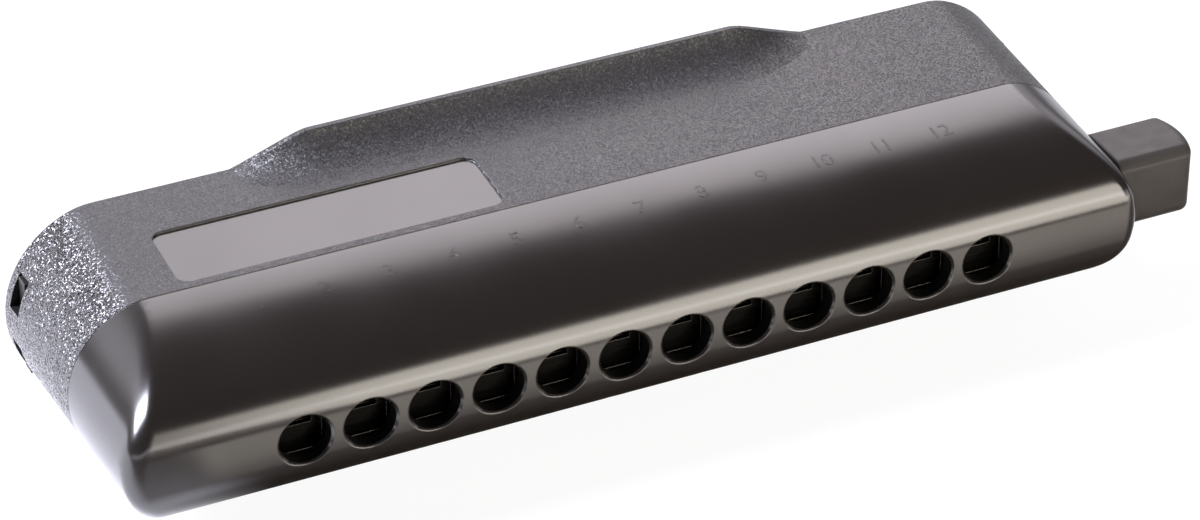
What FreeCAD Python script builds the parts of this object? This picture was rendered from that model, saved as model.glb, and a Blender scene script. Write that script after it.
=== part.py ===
"""A twelve-hole chromatic harmonica with a one-piece casing, in millimetres.

Every piece is first drawn from the mouth face: X runs along the row of holes towards the
button, Y goes from the mouth face to the open rear, and Z is up from the row of holes.
The finished pieces are then set on the rest land, the flat crest of the lower rear lip.
"""
import FreeCAD
import Part
import math
import os
import re

Vector = FreeCAD.Vector
Rotation = FreeCAD.Rotation

doc = FreeCAD.newDocument("chromatic_harmonica")
sheet = doc.addObject("Spreadsheet::Sheet", "sizes")

# Driving sizes: name, value and what it is
SIZES = [
    # Row of holes
    ("hole_count", "12", "holes in the mouth face"),
    ("hole_pitch", "9.1", "from one hole to the next"),
    ("hole_bore", "7.2", "width of a hole"),
    ("hole_rim", "0.35", "bevel round a hole"),
    # Casing
    ("body_depth", "43.5", "mouth face to rear edge"),
    ("end_margin", "24.15", "last hole to the end of the mouth face"),
    ("end_flare", "1.7", "what each end gains on the way to the rear"),
    ("end_bulge", "0.35", "what the round ends stand over the flanks"),
    ("face_half", "2.7", "half height of the flat mouth face"),
    ("nose_lift", "7.1", "pull of the nose curve at the mouth face"),
    ("nose_reach", "11", "pull of the nose curve at the shoulder"),
    ("shoulder_depth", "21", "mouth face to the shoulder line"),
    ("shoulder_half", "13", "half height at the shoulder line"),
    ("rear_half", "14.6", "half height at the rear edge"),
    ("face_round", "2.3", "rounding round the mouth face"),
    ("crease_round", "10", "rounding between flanks and ends"),
    ("wall", "1.9", "casing wall"),
    ("front_wall", "2.4", "casing wall behind the mouth face"),
    # Rear lips
    ("lip_rise", "3.7", "lip crest over the flank's rear edge"),
    ("lip_half", "31.5", "half length of the level crest"),
    ("lip_run", "15", "length of the slope at each end of the crest"),
    ("lip_depth", "9.5", "rear edge to the foot of the ramp"),
    ("lip_land", "0.8", "width of the level crest"),
    ("lip_root", "0.6", "depth of the lip's root in the flank"),
    # Plain recess on the upper flank
    ("panel_length", "46.6", "along the casing"),
    ("panel_width", "11.7", "across the flank"),
    ("panel_shift", "35", "from the middle towards the left end"),
    ("panel_gap", "1.3", "shoulder line to the recess"),
    ("panel_round", "1.8", "corner radius"),
    ("panel_sink", "0.35", "depth of the recess"),
    # Layers between the mouth face and the comb
    ("layer_gap", "0.1", "play between neighbouring layers"),
    ("mouth_web", "0.7", "web of the slide channel"),
    ("mouth_window", "6.2", "window of the slide channel"),
    ("channel_rim", "0.45", "flange of the slide channel"),
    ("slide_sheet", "0.8", "thickness of the slide"),
    ("slide_half", "4.15", "half height of the slide"),
    ("slide_gap", "0.06", "play in front of and behind the slide"),
    ("slide_side_gap", "0.1", "play over and under the slide"),
    ("slide_window", "4", "window of the slide, along the row"),
    ("seal_sheet", "0.8", "thickness of the seal plate"),
    ("seal_window", "4.4", "window of the seal plate, along the row"),
    ("row_inner", "0.45", "middle plane to the near edge of a window"),
    ("row_outer", "3", "middle plane to the far edge of a window"),
    # Comb
    ("comb_margin", "12.95", "last hole to the comb's end"),
    ("comb_half", "3.7", "half height of the comb"),
    ("comb_front", "1.5", "comb wall in front of the chambers"),
    ("comb_rear", "7", "comb wall behind the chambers"),
    ("comb_inset", "1.98", "casing's rear edge to the comb's"),
    ("chamber_wall", "1.1", "wall between two holes' chambers"),
    ("cell_rib", "0.7", "rib between the two cells of a chamber"),
    ("cell_setback", "2", "chamber front to the rib"),
    ("septum_half", "0.35", "half of the floor between the two storeys"),
    ("ear_clear", "4.1", "button's rear face to the comb's ear"),
    ("ear_gap", "1", "comb's ear to the casing's end wall"),
    ("catch_low", "2.9", "lower edge of a catch"),
    ("catch_high", "7.1", "upper edge of a catch"),
    ("catch_width", "2.2", "front to rear"),
    ("catch_root", "3.3", "length of a catch on its ear"),
    ("catch_sink", "1.7", "catch tip inside the end's crest"),
    ("catch_gap", "0.4", "play of a catch in its slot"),
    # Reed plates
    ("plate_sheet", "1.05", "thickness of a reed plate"),
    ("plate_setback", "0.9", "comb edge to plate edge"),
    ("plate_lap", "3", "plate over the comb's rear wall"),
    ("reed_width", "2.3", "width of a reed"),
    ("reed_sheet", "0.25", "thickness of a reed"),
    ("reed_room", "5.5", "lowest reed's tip to the chamber's end"),
    ("reed_high", "9", "free length of the highest reed"),
    ("reed_foot", "3", "riveted foot of a reed"),
    ("reed_gap", "0.06", "play of a reed in its slot"),
    ("foot_margin", "0.5", "chamber end to the reed's foot"),
    ("valve_width", "2.9", "width of a valve"),
    ("valve_sheet", "0.15", "thickness of a valve"),
    ("valve_gap", "0.1", "reed foot to the valve"),
    ("valve_lap", "1", "valve past the end of its slot"),
    ("rivet_bore", "1.4", "shank of a reed rivet"),
    ("rivet_head", "2.2", "head of a reed rivet"),
    ("rivet_cap", "0.4", "thickness of a head"),
    ("pin_fit", "0.02", "radial play of rivets, pins and screws"),
    ("screw_bore", "1.5", "shank of a plate screw"),
    ("screw_head", "2.8", "head of a plate screw"),
    ("screw_cap", "0.8", "thickness of the head"),
    ("screw_length", "3.3", "shank under the head"),
    ("screw_socket", "1.2", "drive recess across its corners"),
    ("screw_socket_depth", "0.5", "depth of the drive recess"),
    ("screw_inset", "3.2", "comb end to the screws"),
    ("screw_lap", "1.7", "chamber end to the rear screws"),
    # Slide ends, spring and stop
    ("stop_pad", "1", "thickness of the rubber stop"),
    ("stop_half", "2.6", "half height of the stop and of the slide's tab"),
    ("stop_rise", "0.6", "comb's front to the stop"),
    ("stop_gap", "0.1", "play at the stops"),
    ("tab_depth", "7.3", "bent tab behind the slide's front face"),
    ("spring_rise", "3.9", "slide's rear face to the spring's axis"),
    ("spring_outer", "4.4", "coil diameter"),
    ("spring_wire", "0.45", "wire diameter"),
    ("spring_turns", "4", "turns of the coil"),
    ("spring_seat", "0.35", "spring to the casing's end wall"),
    ("spring_play", "0.05", "spring to the slide's tab"),
    ("spigot_bore", "2.4", "pin inside the spring"),
    ("tail_gap", "1.3", "slide's tail to the casing's end wall"),
    # Button
    ("button_reach", "12.7", "how far its crown stands out"),
    ("button_front", "5.9", "mouth face to the button"),
    ("button_depth", "10", "front to rear"),
    ("button_half", "5.4", "half height"),
    ("button_dome", "10", "radius of its round end, seen from above"),
    ("button_edge", "1.4", "rounding of its edges"),
    ("button_gap", "0.4", "play in the casing's opening"),
    ("neck_inset", "0.8", "button's side to its neck's side"),
    ("neck_half", "3.9", "half height of neck and tang"),
    ("tang_depth", "4.5", "tang behind the slide"),
    ("tang_gap", "0.4", "tang to the comb when pressed"),
    ("tang_pin", "1.6", "shank of a button pin"),
    ("tang_pin_head", "2.4", "head of a button pin"),
    ("tang_pin_cap", "0.45", "thickness of the head"),
    ("tang_pin_length", "3.6", "shank behind the slide's front face"),
    ("tang_pin_inset", "2.3", "tang's end to the pins"),
    ("tang_pin_half", "2", "middle plane to a pin"),
    # One overrun for every cut that leaves a surface
    ("overrun", "3", "how far cuts run past a surface"),
]
ALIASES = {name for name, _, _ in SIZES}

for row, (name, value, note) in enumerate(SIZES, start=1):
    sheet.set(f"A{row}", note)
    sheet.set(f"B{row}", value)
    sheet.setAlias(f"B{row}", name)
doc.recompute()


def on_sheet(word):
    """A size name as the sheet's own; any other word stays as it is."""
    return f"sizes.{word[0]}" if word[0] in ALIASES else word[0]


def bound(text):
    """Write a sum of size names as an expression on the sheet."""
    return re.sub(r"[a-z][a-z_]*", on_sheet, text)


def size(text):
    """The value of a sum of size names, in millimetres."""
    return float(sheet.evalExpression(bound(text)))


# Places worked out from the driving sizes
HOLES = round(size("hole_count"))
ROW_HALF = "(hole_pitch * (hole_count - 1) / 2)"
HOLE_X = [f"(hole_pitch * {hole} - {ROW_HALF})" for hole in range(HOLES)]
TRAVEL = "(hole_pitch / 2)"
FRONT_HALF = f"({ROW_HALF} + end_margin)"
REAR_HALF = f"({FRONT_HALF} + end_flare)"
COMB_HALF = f"({ROW_HALF} + comb_margin)"

WEB_FRONT = "(front_wall + layer_gap)"
WEB_REAR = f"({WEB_FRONT} + mouth_web)"
SLIDE_FRONT = f"({WEB_REAR} + slide_gap)"
SLIDE_REAR = f"({SLIDE_FRONT} + slide_sheet)"
SEAL_FRONT = f"({SLIDE_REAR} + slide_gap)"
SEAL_REAR = f"({SEAL_FRONT} + seal_sheet)"
COMB_FRONT = f"({SEAL_REAR} + layer_gap)"
CHAMBER_FRONT = f"({COMB_FRONT} + comb_front)"
COMB_REAR = "(body_depth - comb_inset)"
CHAMBER_REAR = f"({COMB_REAR} - comb_rear)"
CHANNEL_INNER = "(slide_half + slide_side_gap)"
CHANNEL_OUTER = f"({CHANNEL_INNER} + channel_rim)"

PLATE_TOP = "(comb_half + plate_sheet)"
PLATE_FRONT = f"({COMB_FRONT} + plate_setback)"
PLATE_REAR = f"({CHAMBER_REAR} + plate_lap)"
PLATE_HALF = f"({COMB_HALF} - plate_setback)"
REED_SHIFT = "((hole_pitch - chamber_wall + cell_rib) / 4)"
CELL_WIDTH = "((hole_pitch - chamber_wall - cell_rib) / 2)"
DRAW_FOOT = f"({CHAMBER_FRONT} + foot_margin)"
DRAW_RIVET = f"({DRAW_FOOT} + reed_foot / 2)"
DRAW_ROOT = f"({DRAW_FOOT} + reed_foot)"
BLOW_FOOT = f"({CHAMBER_REAR} - foot_margin)"
BLOW_RIVET = f"({BLOW_FOOT} - reed_foot / 2)"
BLOW_ROOT = f"({BLOW_FOOT} - reed_foot)"
REED_LOW = f"({CHAMBER_REAR} - {DRAW_ROOT} - reed_room)"
REED_FREE = [f"({REED_LOW} - ({REED_LOW} - reed_high) * {hole} / (hole_count - 1))" for hole in range(HOLES)]

TAB_RIGHT = f"(-({COMB_HALF} + stop_pad + stop_gap))"
TAB_LEFT = f"({TAB_RIGHT} - slide_sheet)"
TAIL_END = f"({FRONT_HALF} - wall - tail_gap)"
SPRING_Y = f"({SLIDE_REAR} + spring_rise)"
SPRING_WALL = f"({FRONT_HALF} + end_flare * {SPRING_Y} / body_depth - wall)"
TANG_LEFT = f"({COMB_HALF} + {TRAVEL} + tang_gap)"
TANG_PIN_X = f"({TANG_LEFT} + tang_pin_inset)"
BUTTON_LEFT = FRONT_HALF
BUTTON_REAR = "(button_front + button_depth)"
EAR_FRONT = f"({BUTTON_REAR} + ear_clear)"
EAR_END = f"({FRONT_HALF} - wall - ear_gap)"
CATCH_FRONT = f"({COMB_REAR} - catch_width)"
CATCH_ROOT = f"({EAR_END} - catch_root)"
CATCH_TIP = f"({REAR_HALF} - catch_sink)"

LIP_TOP = "(rear_half + lip_rise)"
LAND_Y = "(body_depth - lip_land / 2)"
FLANK_SLOPE = "((rear_half - shoulder_half) / (body_depth - shoulder_depth))"

# Height of the lip's end slope, along its run from the foot to the crest
LIP_RUN_SHARES = [
    (0, 0), (0.12, 0.06), (0.25, 0.17), (0.4, 0.35),
    (0.6, 0.6), (0.8, 0.85), (0.92, 0.97), (1, 1),
]
# Where the ramp's curve is pulled to, between its foot and the crest
RAMP_PULL_SHARE = 0.7
# How far the ramp's inner face lies behind the outer one, in walls
RAMP_BACK_SHARE = 0.7
# Points on the inner nose curve, and arcs in one turn of the spring
NOSE_STEPS = 12
TURN_ARCS = 4

# Directions
SIDE = Vector(1, 0, 0)
REAR = Vector(0, 1, 0)
UP = Vector(0, 0, 1)
ALONG_X = Rotation(UP, SIDE)
ALONG_Y = Rotation(UP, REAR)


def place(item, x, y, z):
    """Bind an object's base point to the sheet."""
    for axis, text in (("x", x), ("y", y), ("z", z)):
        item.setExpression(f"Placement.Base.{axis}", bound(text))
    return item


def box(name, x, y, z):
    """A box between two places on each axis, each pair written low, high."""
    item = doc.addObject("Part::Box", name)
    for side, (low, high) in (("Length", x), ("Width", y), ("Height", z)):
        item.setExpression(side, bound(f"{high} - {low}"))
    return place(item, x[0], y[0], z[0])


def rod(name, bore, length, x, y, z, turn=None):
    """A cylinder of a given bore that starts at a place; turn takes it off the Z axis."""
    item = doc.addObject("Part::Cylinder", name)
    item.Placement = FreeCAD.Placement(Vector(), turn or Rotation())
    item.setExpression("Radius", bound(f"({bore}) / 2"))
    item.setExpression("Height", bound(length))
    return place(item, x, y, z)


def group(name, items):
    """Several separate solids as one object."""
    item = doc.addObject("Part::Compound", name)
    item.Links = items
    return item


def cut(name, base, tool):
    item = doc.addObject("Part::Cut", name)
    item.Base = base
    item.Tool = tool
    return item


def fuse(name, items):
    item = doc.addObject("Part::MultiFuse", name)
    item.Shapes = items
    return item


def mirror(name, source, normal):
    """The source turned over the middle plane that has this normal."""
    item = doc.addObject("Part::Mirroring", name)
    item.Source = source
    item.Normal = normal
    return item


def shape(name, form):
    """An object whose form is made with the kernel's own functions."""
    item = doc.addObject("Part::Feature", name)
    item.Shape = form
    return item


def copies(form, places):
    """One compound of a form moved to each place."""
    return Part.makeCompound([form.translated(Vector(*spot)) for spot in places])


# Casing
def end_ring(depth, half, radius):
    """The casing's outline at one depth: two straight runs and two half rounds."""
    centre = half - radius
    top_left = Vector(-centre, depth, radius)
    top_right = Vector(centre, depth, radius)
    low_right = Vector(centre, depth, -radius)
    low_left = Vector(-centre, depth, -radius)
    right = Part.Arc(top_right, Vector(half, depth, 0), low_right)
    left = Part.Arc(low_left, Vector(-half, depth, 0), top_left)
    top = Part.makeLine(top_left, top_right)
    base = Part.makeLine(low_right, low_left)
    return Part.Wire([top, right.toShape(), base, left.toShape()])


def end_loft(first, last, inset):
    """The round-ended block between two depths, its outline drawn in by the inset."""
    rings = []
    for depth in (first, last):
        half = size(FRONT_HALF) + size("end_flare / body_depth") * depth - inset
        radius = size("shoulder_half + end_bulge") + size(FLANK_SLOPE) * (depth - size("shoulder_depth"))
        rings.append(end_ring(depth, half, radius - inset))
    return Part.makeLoft(rings, True, True)


def nose_curve():
    """The upper nose, from the mouth face to the shoulder line."""
    slope = size(FLANK_SLOPE)
    reach = size("nose_reach") / math.hypot(1, slope)
    curve = Part.BezierCurve()
    curve.setPoles([
        Vector(0, 0, size("face_half")),
        Vector(0, 0, size("face_half + nose_lift")),
        Vector(0, size("shoulder_depth") - reach, size("shoulder_half") - slope * reach),
        Vector(0, size("shoulder_depth"), size("shoulder_half")),
    ])
    return curve


def inner_nose_curve():
    """The nose curve drawn in by the wall."""
    outer = nose_curve()
    points = []
    for step in range(NOSE_STEPS + 1):
        share = step / NOSE_STEPS
        run = outer.tangent(share)[0]
        inward = Vector(0, run.z, -run.y)
        points.append(outer.value(share) + inward * size("wall"))
    curve = Part.BSplineCurve()
    curve.interpolate(points)
    return curve


def profile_block(upper, rear, rear_half):
    """The prism of the side profile, whose nose is the given upper curve."""
    top = upper.toShape()
    base = top.mirror(Vector(), UP)
    start = top.Vertexes[0].Point
    shoulder = top.Vertexes[-1].Point
    flank = Vector(0, rear, rear_half)
    corners = [(start, Vector(start.x, start.y, -start.z)), (shoulder, flank)]
    corners.append((flank, Vector(0, rear, -rear_half)))
    corners.append((Vector(0, rear, -rear_half), Vector(0, shoulder.y, -shoulder.z)))
    edges = [top, base] + [Part.makeLine(*pair) for pair in corners]
    face = Part.Face(Part.Wire(Part.sortEdges(edges)[0]))
    half = size(f"{REAR_HALF} + overrun")
    return face.translated(SIDE * -half).extrude(SIDE * 2 * half)


def crease_radius(edge, parameter):
    """The rounding at one place on an end's crease; it grows from the mouth face to the shoulder."""
    way = min(edge.valueAt(parameter).y / size("shoulder_depth"), 1)
    return size("face_round") + way * size("crease_round - face_round")


def make_outside():
    """The casing's outside without its lips, with the creases at its ends rounded."""
    depth = size("body_depth")
    block = profile_block(nose_curve(), depth, size("rear_half"))
    block = shape("casing_block", end_loft(0, depth, 0).common(block))
    item = doc.addObject("Part::Fillet", "casing_outside")
    item.Base = block
    creases = []
    for number, edge in enumerate(block.Shape.Edges, start=1):
        straight = isinstance(edge.Curve, (Part.Line, Part.LineSegment))
        if not straight and edge.BoundBox.YMin < size("shoulder_depth + overrun"):
            radii = [crease_radius(edge, parameter) for parameter in edge.ParameterRange]
            creases.append((number, *radii))
    item.Edges = creases
    return item


def inner_block():
    """The casing's hollow without its lips; it runs out past the rear edge."""
    depth = size("body_depth + overrun")
    rear_half = size(f"rear_half - wall + {FLANK_SLOPE} * overrun")
    block = profile_block(inner_nose_curve(), depth, rear_half)
    return end_loft(size("front_wall"), depth, size("wall")).common(block)


def flank_height(y):
    """The height of the upper flank at one depth."""
    return size("rear_half") - size(FLANK_SLOPE) * (size("body_depth") - y)


def lip_ring(x, rise, inset, rear):
    """The lip's section at one place: a hollow ramp up to a level crest."""
    back = RAMP_BACK_SHARE * inset
    foot_y = size("body_depth - lip_depth") + back
    crest_y = size("body_depth - lip_land") + back
    pull_y = foot_y + (crest_y - foot_y) * RAMP_PULL_SHARE
    sunk = size("lip_root") * (1 - rise)
    crest_z = size("rear_half") + rise * size("lip_rise") - sunk - inset
    root_z = size("rear_half - lip_root - wall") - inset
    foot = Vector(x, foot_y, flank_height(foot_y) - sunk - inset)
    pull = Vector(x, pull_y, min(flank_height(pull_y) - inset, crest_z))
    crest = Vector(x, crest_y, crest_z)
    ramp = Part.BezierCurve()
    ramp.setPoles([foot, pull, crest])
    below = [Vector(x, rear, root_z), Vector(x, foot_y, root_z)]
    corners = [crest, Vector(x, rear, crest_z), *below, foot]
    runs = [Part.makeLine(*pair) for pair in zip(corners, corners[1:])]
    return Part.Wire([ramp.toShape()] + runs)


def lip_block(inset):
    """The upper lip, or the hollow in it: a level middle and a soft slope at each end."""
    rear = size("body_depth + overrun") if inset else size("body_depth")
    half = size("lip_half")
    run = size("lip_run")
    middle = Part.Face(lip_ring(-half, 1, inset, rear)).extrude(SIDE * 2 * half)
    rings = [lip_ring(-half - run * (1 - along), rise, inset, rear) for along, rise in LIP_RUN_SHARES]
    left = Part.makeLoft(rings, True, False)
    return [middle, left, left.mirror(Vector(), SIDE)]


def make_panel():
    """The shallow recess with round corners on the upper flank."""
    block = doc.addObject("Part::Box", "panel_block")
    block.Placement = FreeCAD.Placement(Vector(), Rotation(REAR, Vector(0, 1, size(FLANK_SLOPE))))
    block.setExpression("Length", bound("panel_length"))
    block.setExpression("Width", bound("panel_width"))
    block.setExpression("Height", bound("overrun"))
    lift = f"shoulder_half + {FLANK_SLOPE} * panel_gap - panel_sink"
    place(block, "-panel_shift - panel_length / 2", "shoulder_depth + panel_gap", lift)
    doc.recompute()
    item = doc.addObject("Part::Fillet", "panel_recess")
    item.Base = block
    radius = size("panel_round")
    level = block.Shape.copy()
    level.Placement = FreeCAD.Placement()
    spans = enumerate([edge.BoundBox for edge in level.Edges], start=1)
    item.Edges = [
        (number, radius, radius) for number, span in spans if span.ZLength > span.XLength + span.YLength
    ]
    return item


def catch_boxes(name, tip, gap):
    """The four catches out to a tip, or with a gap the slots that they fit."""
    depth = (f"({CATCH_FRONT} - {gap})", f"({COMB_REAR} + {gap})")
    ends = (("left", (f"(-{tip})", f"(-{CATCH_ROOT})")), ("right", (CATCH_ROOT, tip)))
    upper = (f"(catch_low - {gap})", f"(catch_high + {gap})")
    lower = (f"(-catch_high - {gap})", f"(-catch_low + {gap})")
    return [
        box(f"{name}_{end}_{storey}", x, depth, z)
        for end, x in ends
        for storey, z in (("upper", upper), ("lower", lower))
    ]


def make_housing():
    """The one-piece casing with its mouth holes, catch slots, button opening and spigot."""
    outside = make_outside()
    hollow = shape("casing_hollow", inner_block())
    lips = [shape(f"lip_{number}", form) for number, form in enumerate(lip_block(0))]
    lips += [mirror(f"{lip.Name}_below", lip, UP) for lip in lips]
    hollows = [shape(f"lip_hollow_{number}", form) for number, form in enumerate(lip_block(size("wall")))]
    hollows += [mirror(f"{lip.Name}_below", lip, UP) for lip in hollows]
    solid = fuse("casing_solid", [outside] + lips)
    shell = cut("casing_shell", solid, fuse("casing_inside", [hollow] + hollows))
    spigot_x = f"{TAB_LEFT} - {TRAVEL} - stop_gap"
    spigot_root = f"(-({SPRING_WALL} + wall / 2))"
    spigot_length = f"{spigot_x} - {spigot_root}"
    spigot = rod("spigot", "spigot_bore", spigot_length, spigot_root, SPRING_Y, "0", ALONG_X)
    shell = fuse("casing_with_spigot", [shell, spigot])
    tools = [make_panel()]
    rims = []
    for hole, x in enumerate(HOLE_X):
        through = "front_wall + overrun"
        tools.append(rod(f"hole_{hole}", "hole_bore", through, x, "-overrun / 2", "0", ALONG_Y))
        rim = doc.addObject("Part::Cone", f"rim_{hole}")
        rim.Placement = FreeCAD.Placement(Vector(), ALONG_Y)
        rim.setExpression("Radius1", bound("hole_bore / 2 + 2 * hole_rim"))
        rim.setExpression("Radius2", bound("hole_bore / 2"))
        rim.setExpression("Height", bound("2 * hole_rim"))
        rims.append(place(rim, x, "-hole_rim", "0"))
    shell = cut("casing_with_holes", shell, group("hole_tools", tools))
    past = f"({REAR_HALF} + overrun)"
    slots = catch_boxes("catch_slot", past, "catch_gap")
    reach = (TANG_LEFT, f"({BUTTON_LEFT} + overrun)")
    depth = ("(button_front - button_gap)", f"({BUTTON_REAR} + button_gap)")
    tall = ("(-button_half - button_gap)", "(button_half + button_gap)")
    opening = box("button_opening", reach, depth, tall)
    return cut("housing", shell, group("opening_tools", rims + slots + [opening]))


# Layers between the mouth face and the comb
def row_windows(name, width, y, offsets):
    """A window for each hole and each storey; offsets shift the storeys along the row."""
    windows = []
    storeys = (("upper", ("row_inner", "row_outer")), ("lower", ("(-row_outer)", "(-row_inner)")))
    for (storey, z), offset in zip(storeys, offsets):
        for hole, x in enumerate(HOLE_X):
            span = (f"({x} + {offset} - {width} / 2)", f"({x} + {offset} + {width} / 2)")
            windows.append(box(f"{name}_{storey}_{hole}", span, y, z))
    return group(name, windows)


def make_mouth_plate():
    """The channel that the slide runs in: a web with a window at each hole, and two flanges."""
    span = (f"(-{COMB_HALF})", COMB_HALF)
    plate = box("channel_block", span, (WEB_FRONT, SEAL_FRONT), (f"(-{CHANNEL_OUTER})", CHANNEL_OUTER))
    past = (f"(-{COMB_HALF} - overrun)", f"({COMB_HALF} + overrun)")
    deep = (WEB_REAR, f"({SEAL_FRONT} + overrun)")
    groove = box("channel_groove", past, deep, (f"(-{CHANNEL_INNER})", CHANNEL_INNER))
    channel = cut("channel", plate, groove)
    through = (f"({WEB_FRONT} - overrun)", f"({WEB_REAR} + overrun)")
    tall = ("(-mouth_window / 2)", "(mouth_window / 2)")
    windows = [
        box(f"mouth_window_{hole}", (f"({x} - mouth_window / 2)", f"({x} + mouth_window / 2)"), through, tall)
        for hole, x in enumerate(HOLE_X)
    ]
    return cut("mouth_plate", channel, group("mouth_windows", windows))


def make_slide_seal():
    """The plate behind the slide, with two windows at each hole."""
    span = (f"(-{COMB_HALF})", COMB_HALF)
    plate = box("seal_block", span, (SEAL_FRONT, SEAL_REAR), (f"(-{CHANNEL_OUTER})", CHANNEL_OUTER))
    through = (f"({SEAL_FRONT} - overrun)", f"({SEAL_REAR} + overrun)")
    return cut("slide_seal", plate, row_windows("seal_windows", "seal_window", through, ("0", "0")))


def make_slide():
    """The sheet-metal slide: staggered windows, a bent tab at the left and a tail at the right."""
    flat = (SLIDE_FRONT, SLIDE_REAR)
    sheet_block = box("slide_block", (TAB_LEFT, TAIL_END), flat, ("(-slide_half)", "slide_half"))
    bent = (SLIDE_FRONT, f"({SLIDE_FRONT} + tab_depth)")
    tab = box("slide_tab", (TAB_LEFT, TAB_RIGHT), bent, ("(-stop_half)", "stop_half"))
    blank = fuse("slide_blank", [sheet_block, tab])
    through = (f"({SLIDE_FRONT} - overrun)", f"({SLIDE_REAR} + overrun)")
    windows = row_windows("slide_windows", "slide_window", through, ("0", TRAVEL))
    slotted = cut("slide_slotted", blank, windows)
    holes = [
        rod(f"slide_pin_hole_{number}", "tang_pin + 2 * pin_fit", "slide_sheet + 2 * overrun",
            TANG_PIN_X, f"{SLIDE_FRONT} - overrun", z, ALONG_Y)
        for number, z in enumerate(("tang_pin_half", "-tang_pin_half"))
    ]
    return cut("slide", slotted, group("slide_pin_holes", holes))


# Comb
def make_comb():
    """The comb: two storeys of chambers, each split into two cells, with ears and catches."""
    tall = ("(-comb_half)", "comb_half")
    block = box("comb_block", (f"(-{COMB_HALF})", COMB_HALF), (COMB_FRONT, COMB_REAR), tall)
    ears = box("comb_ears", (f"(-{EAR_END})", EAR_END), (EAR_FRONT, COMB_REAR), tall)
    solid = fuse("comb_solid", [block, ears] + catch_boxes("catch", CATCH_TIP, "0"))
    storeys = (
        ("upper", ("septum_half", "(comb_half + overrun)")),
        ("lower", ("(-comb_half - overrun)", "(-septum_half)")),
    )
    cells = []
    lobbies = []
    rib_front = f"({CHAMBER_FRONT} + cell_setback)"
    for storey, z in storeys:
        for hole, x in enumerate(HOLE_X):
            for cell, side in (("draw", "-"), ("blow", "+")):
                middle = f"({x} {side} {REED_SHIFT})"
                span = (f"({middle} - {CELL_WIDTH} / 2)", f"({middle} + {CELL_WIDTH} / 2)")
                cells.append(box(f"cell_{storey}_{hole}_{cell}", span, (rib_front, CHAMBER_REAR), z))
            reach = "(hole_pitch - chamber_wall) / 2"
            wide = (f"({x} - {reach})", f"({x} + {reach})")
            lobbies.append(box(f"lobby_{storey}_{hole}", wide, (CHAMBER_FRONT, rib_front), z))
    hollow = cut("comb_with_cells", solid, group("comb_cells", cells))
    hollow = cut("comb_with_lobbies", hollow, group("comb_lobbies", lobbies))
    doors = row_windows("comb_doors", "seal_window", (f"({COMB_FRONT} - overrun)", CHAMBER_FRONT), ("0", "0"))
    hollow = cut("comb_with_doors", hollow, doors)
    bore = size("screw_bore / 2 + pin_fit")
    deep = size("screw_length - plate_sheet + 2 * pin_fit")
    hole = Part.makeCylinder(bore, deep + size("overrun"), Vector(0, 0, size("comb_half") - deep))
    upper = copies(hole, screw_places())
    both = Part.makeCompound([upper, upper.mirror(Vector(), UP)])
    return cut("comb", hollow, shape("comb_screw_holes", both))


def screw_places():
    """Where the screws stand on a plate: four corners and two behind the chambers."""
    side = size(f"{COMB_HALF} - screw_inset")
    front = size(f"{COMB_FRONT} + screw_inset")
    rear = size(f"{CHAMBER_REAR} + screw_lap")
    inner = size("2 * hole_pitch")
    spots = ((side, front), (side, rear), (inner, rear))
    return [(way * x, y, 0) for x, y in spots for way in (-1, 1)]


def make_plate_screws():
    """The screws that hold both reed plates to the comb."""
    under_head = Vector(0, 0, size(PLATE_TOP))
    tip = Vector(0, 0, size(f"{PLATE_TOP} - screw_length"))
    floor = Vector(0, 0, size(f"{PLATE_TOP} + screw_cap - screw_socket_depth"))
    shank = Part.makeCylinder(size("screw_bore / 2"), size("screw_length"), tip)
    head = Part.makeCylinder(size("screw_head / 2"), size("screw_cap"), under_head)
    socket = Part.makeCylinder(size("screw_socket / 2"), size("screw_socket_depth + overrun"), floor)
    screw = shank.fuse(head).cut(socket).removeSplitter()
    upper = copies(screw, screw_places())
    return shape("plate_screws", Part.makeCompound([upper, upper.mirror(Vector(), UP)]))


# Reeds, valves and rivets of the upper plate; the lower ones are their mirror images
def reed_spans(hole, kind):
    """Where one reed's foot and tongue lie: X span, foot Y span and tongue Y span."""
    side = "-" if kind == "draw" else "+"
    middle = f"({HOLE_X[hole]} {side} {REED_SHIFT})"
    x = (f"({middle} - reed_width / 2)", f"({middle} + reed_width / 2)")
    if kind == "draw":
        return x, (DRAW_FOOT, DRAW_ROOT), (DRAW_ROOT, f"({DRAW_ROOT} + {REED_FREE[hole]})")
    return x, (BLOW_ROOT, BLOW_FOOT), (f"({BLOW_ROOT} - {REED_FREE[hole]})", BLOW_ROOT)


def rivet_places(kind):
    """Where the rivets of one kind of reed stand."""
    side = "-" if kind == "draw" else "+"
    y = DRAW_RIVET if kind == "draw" else BLOW_RIVET
    return [(size(f"{x} {side} {REED_SHIFT}"), size(y), 0) for x in HOLE_X]


def rivet_holes(name, low, high):
    """The bores of all rivets between two heights, written as sums of sizes."""
    bore = size("rivet_bore / 2 + pin_fit")
    start = Vector(0, 0, size(f"{low} - overrun"))
    drill = Part.makeCylinder(bore, size(f"{high} - {low} + 2 * overrun"), start)
    return shape(name, copies(drill, rivet_places("draw") + rivet_places("blow")))


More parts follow.
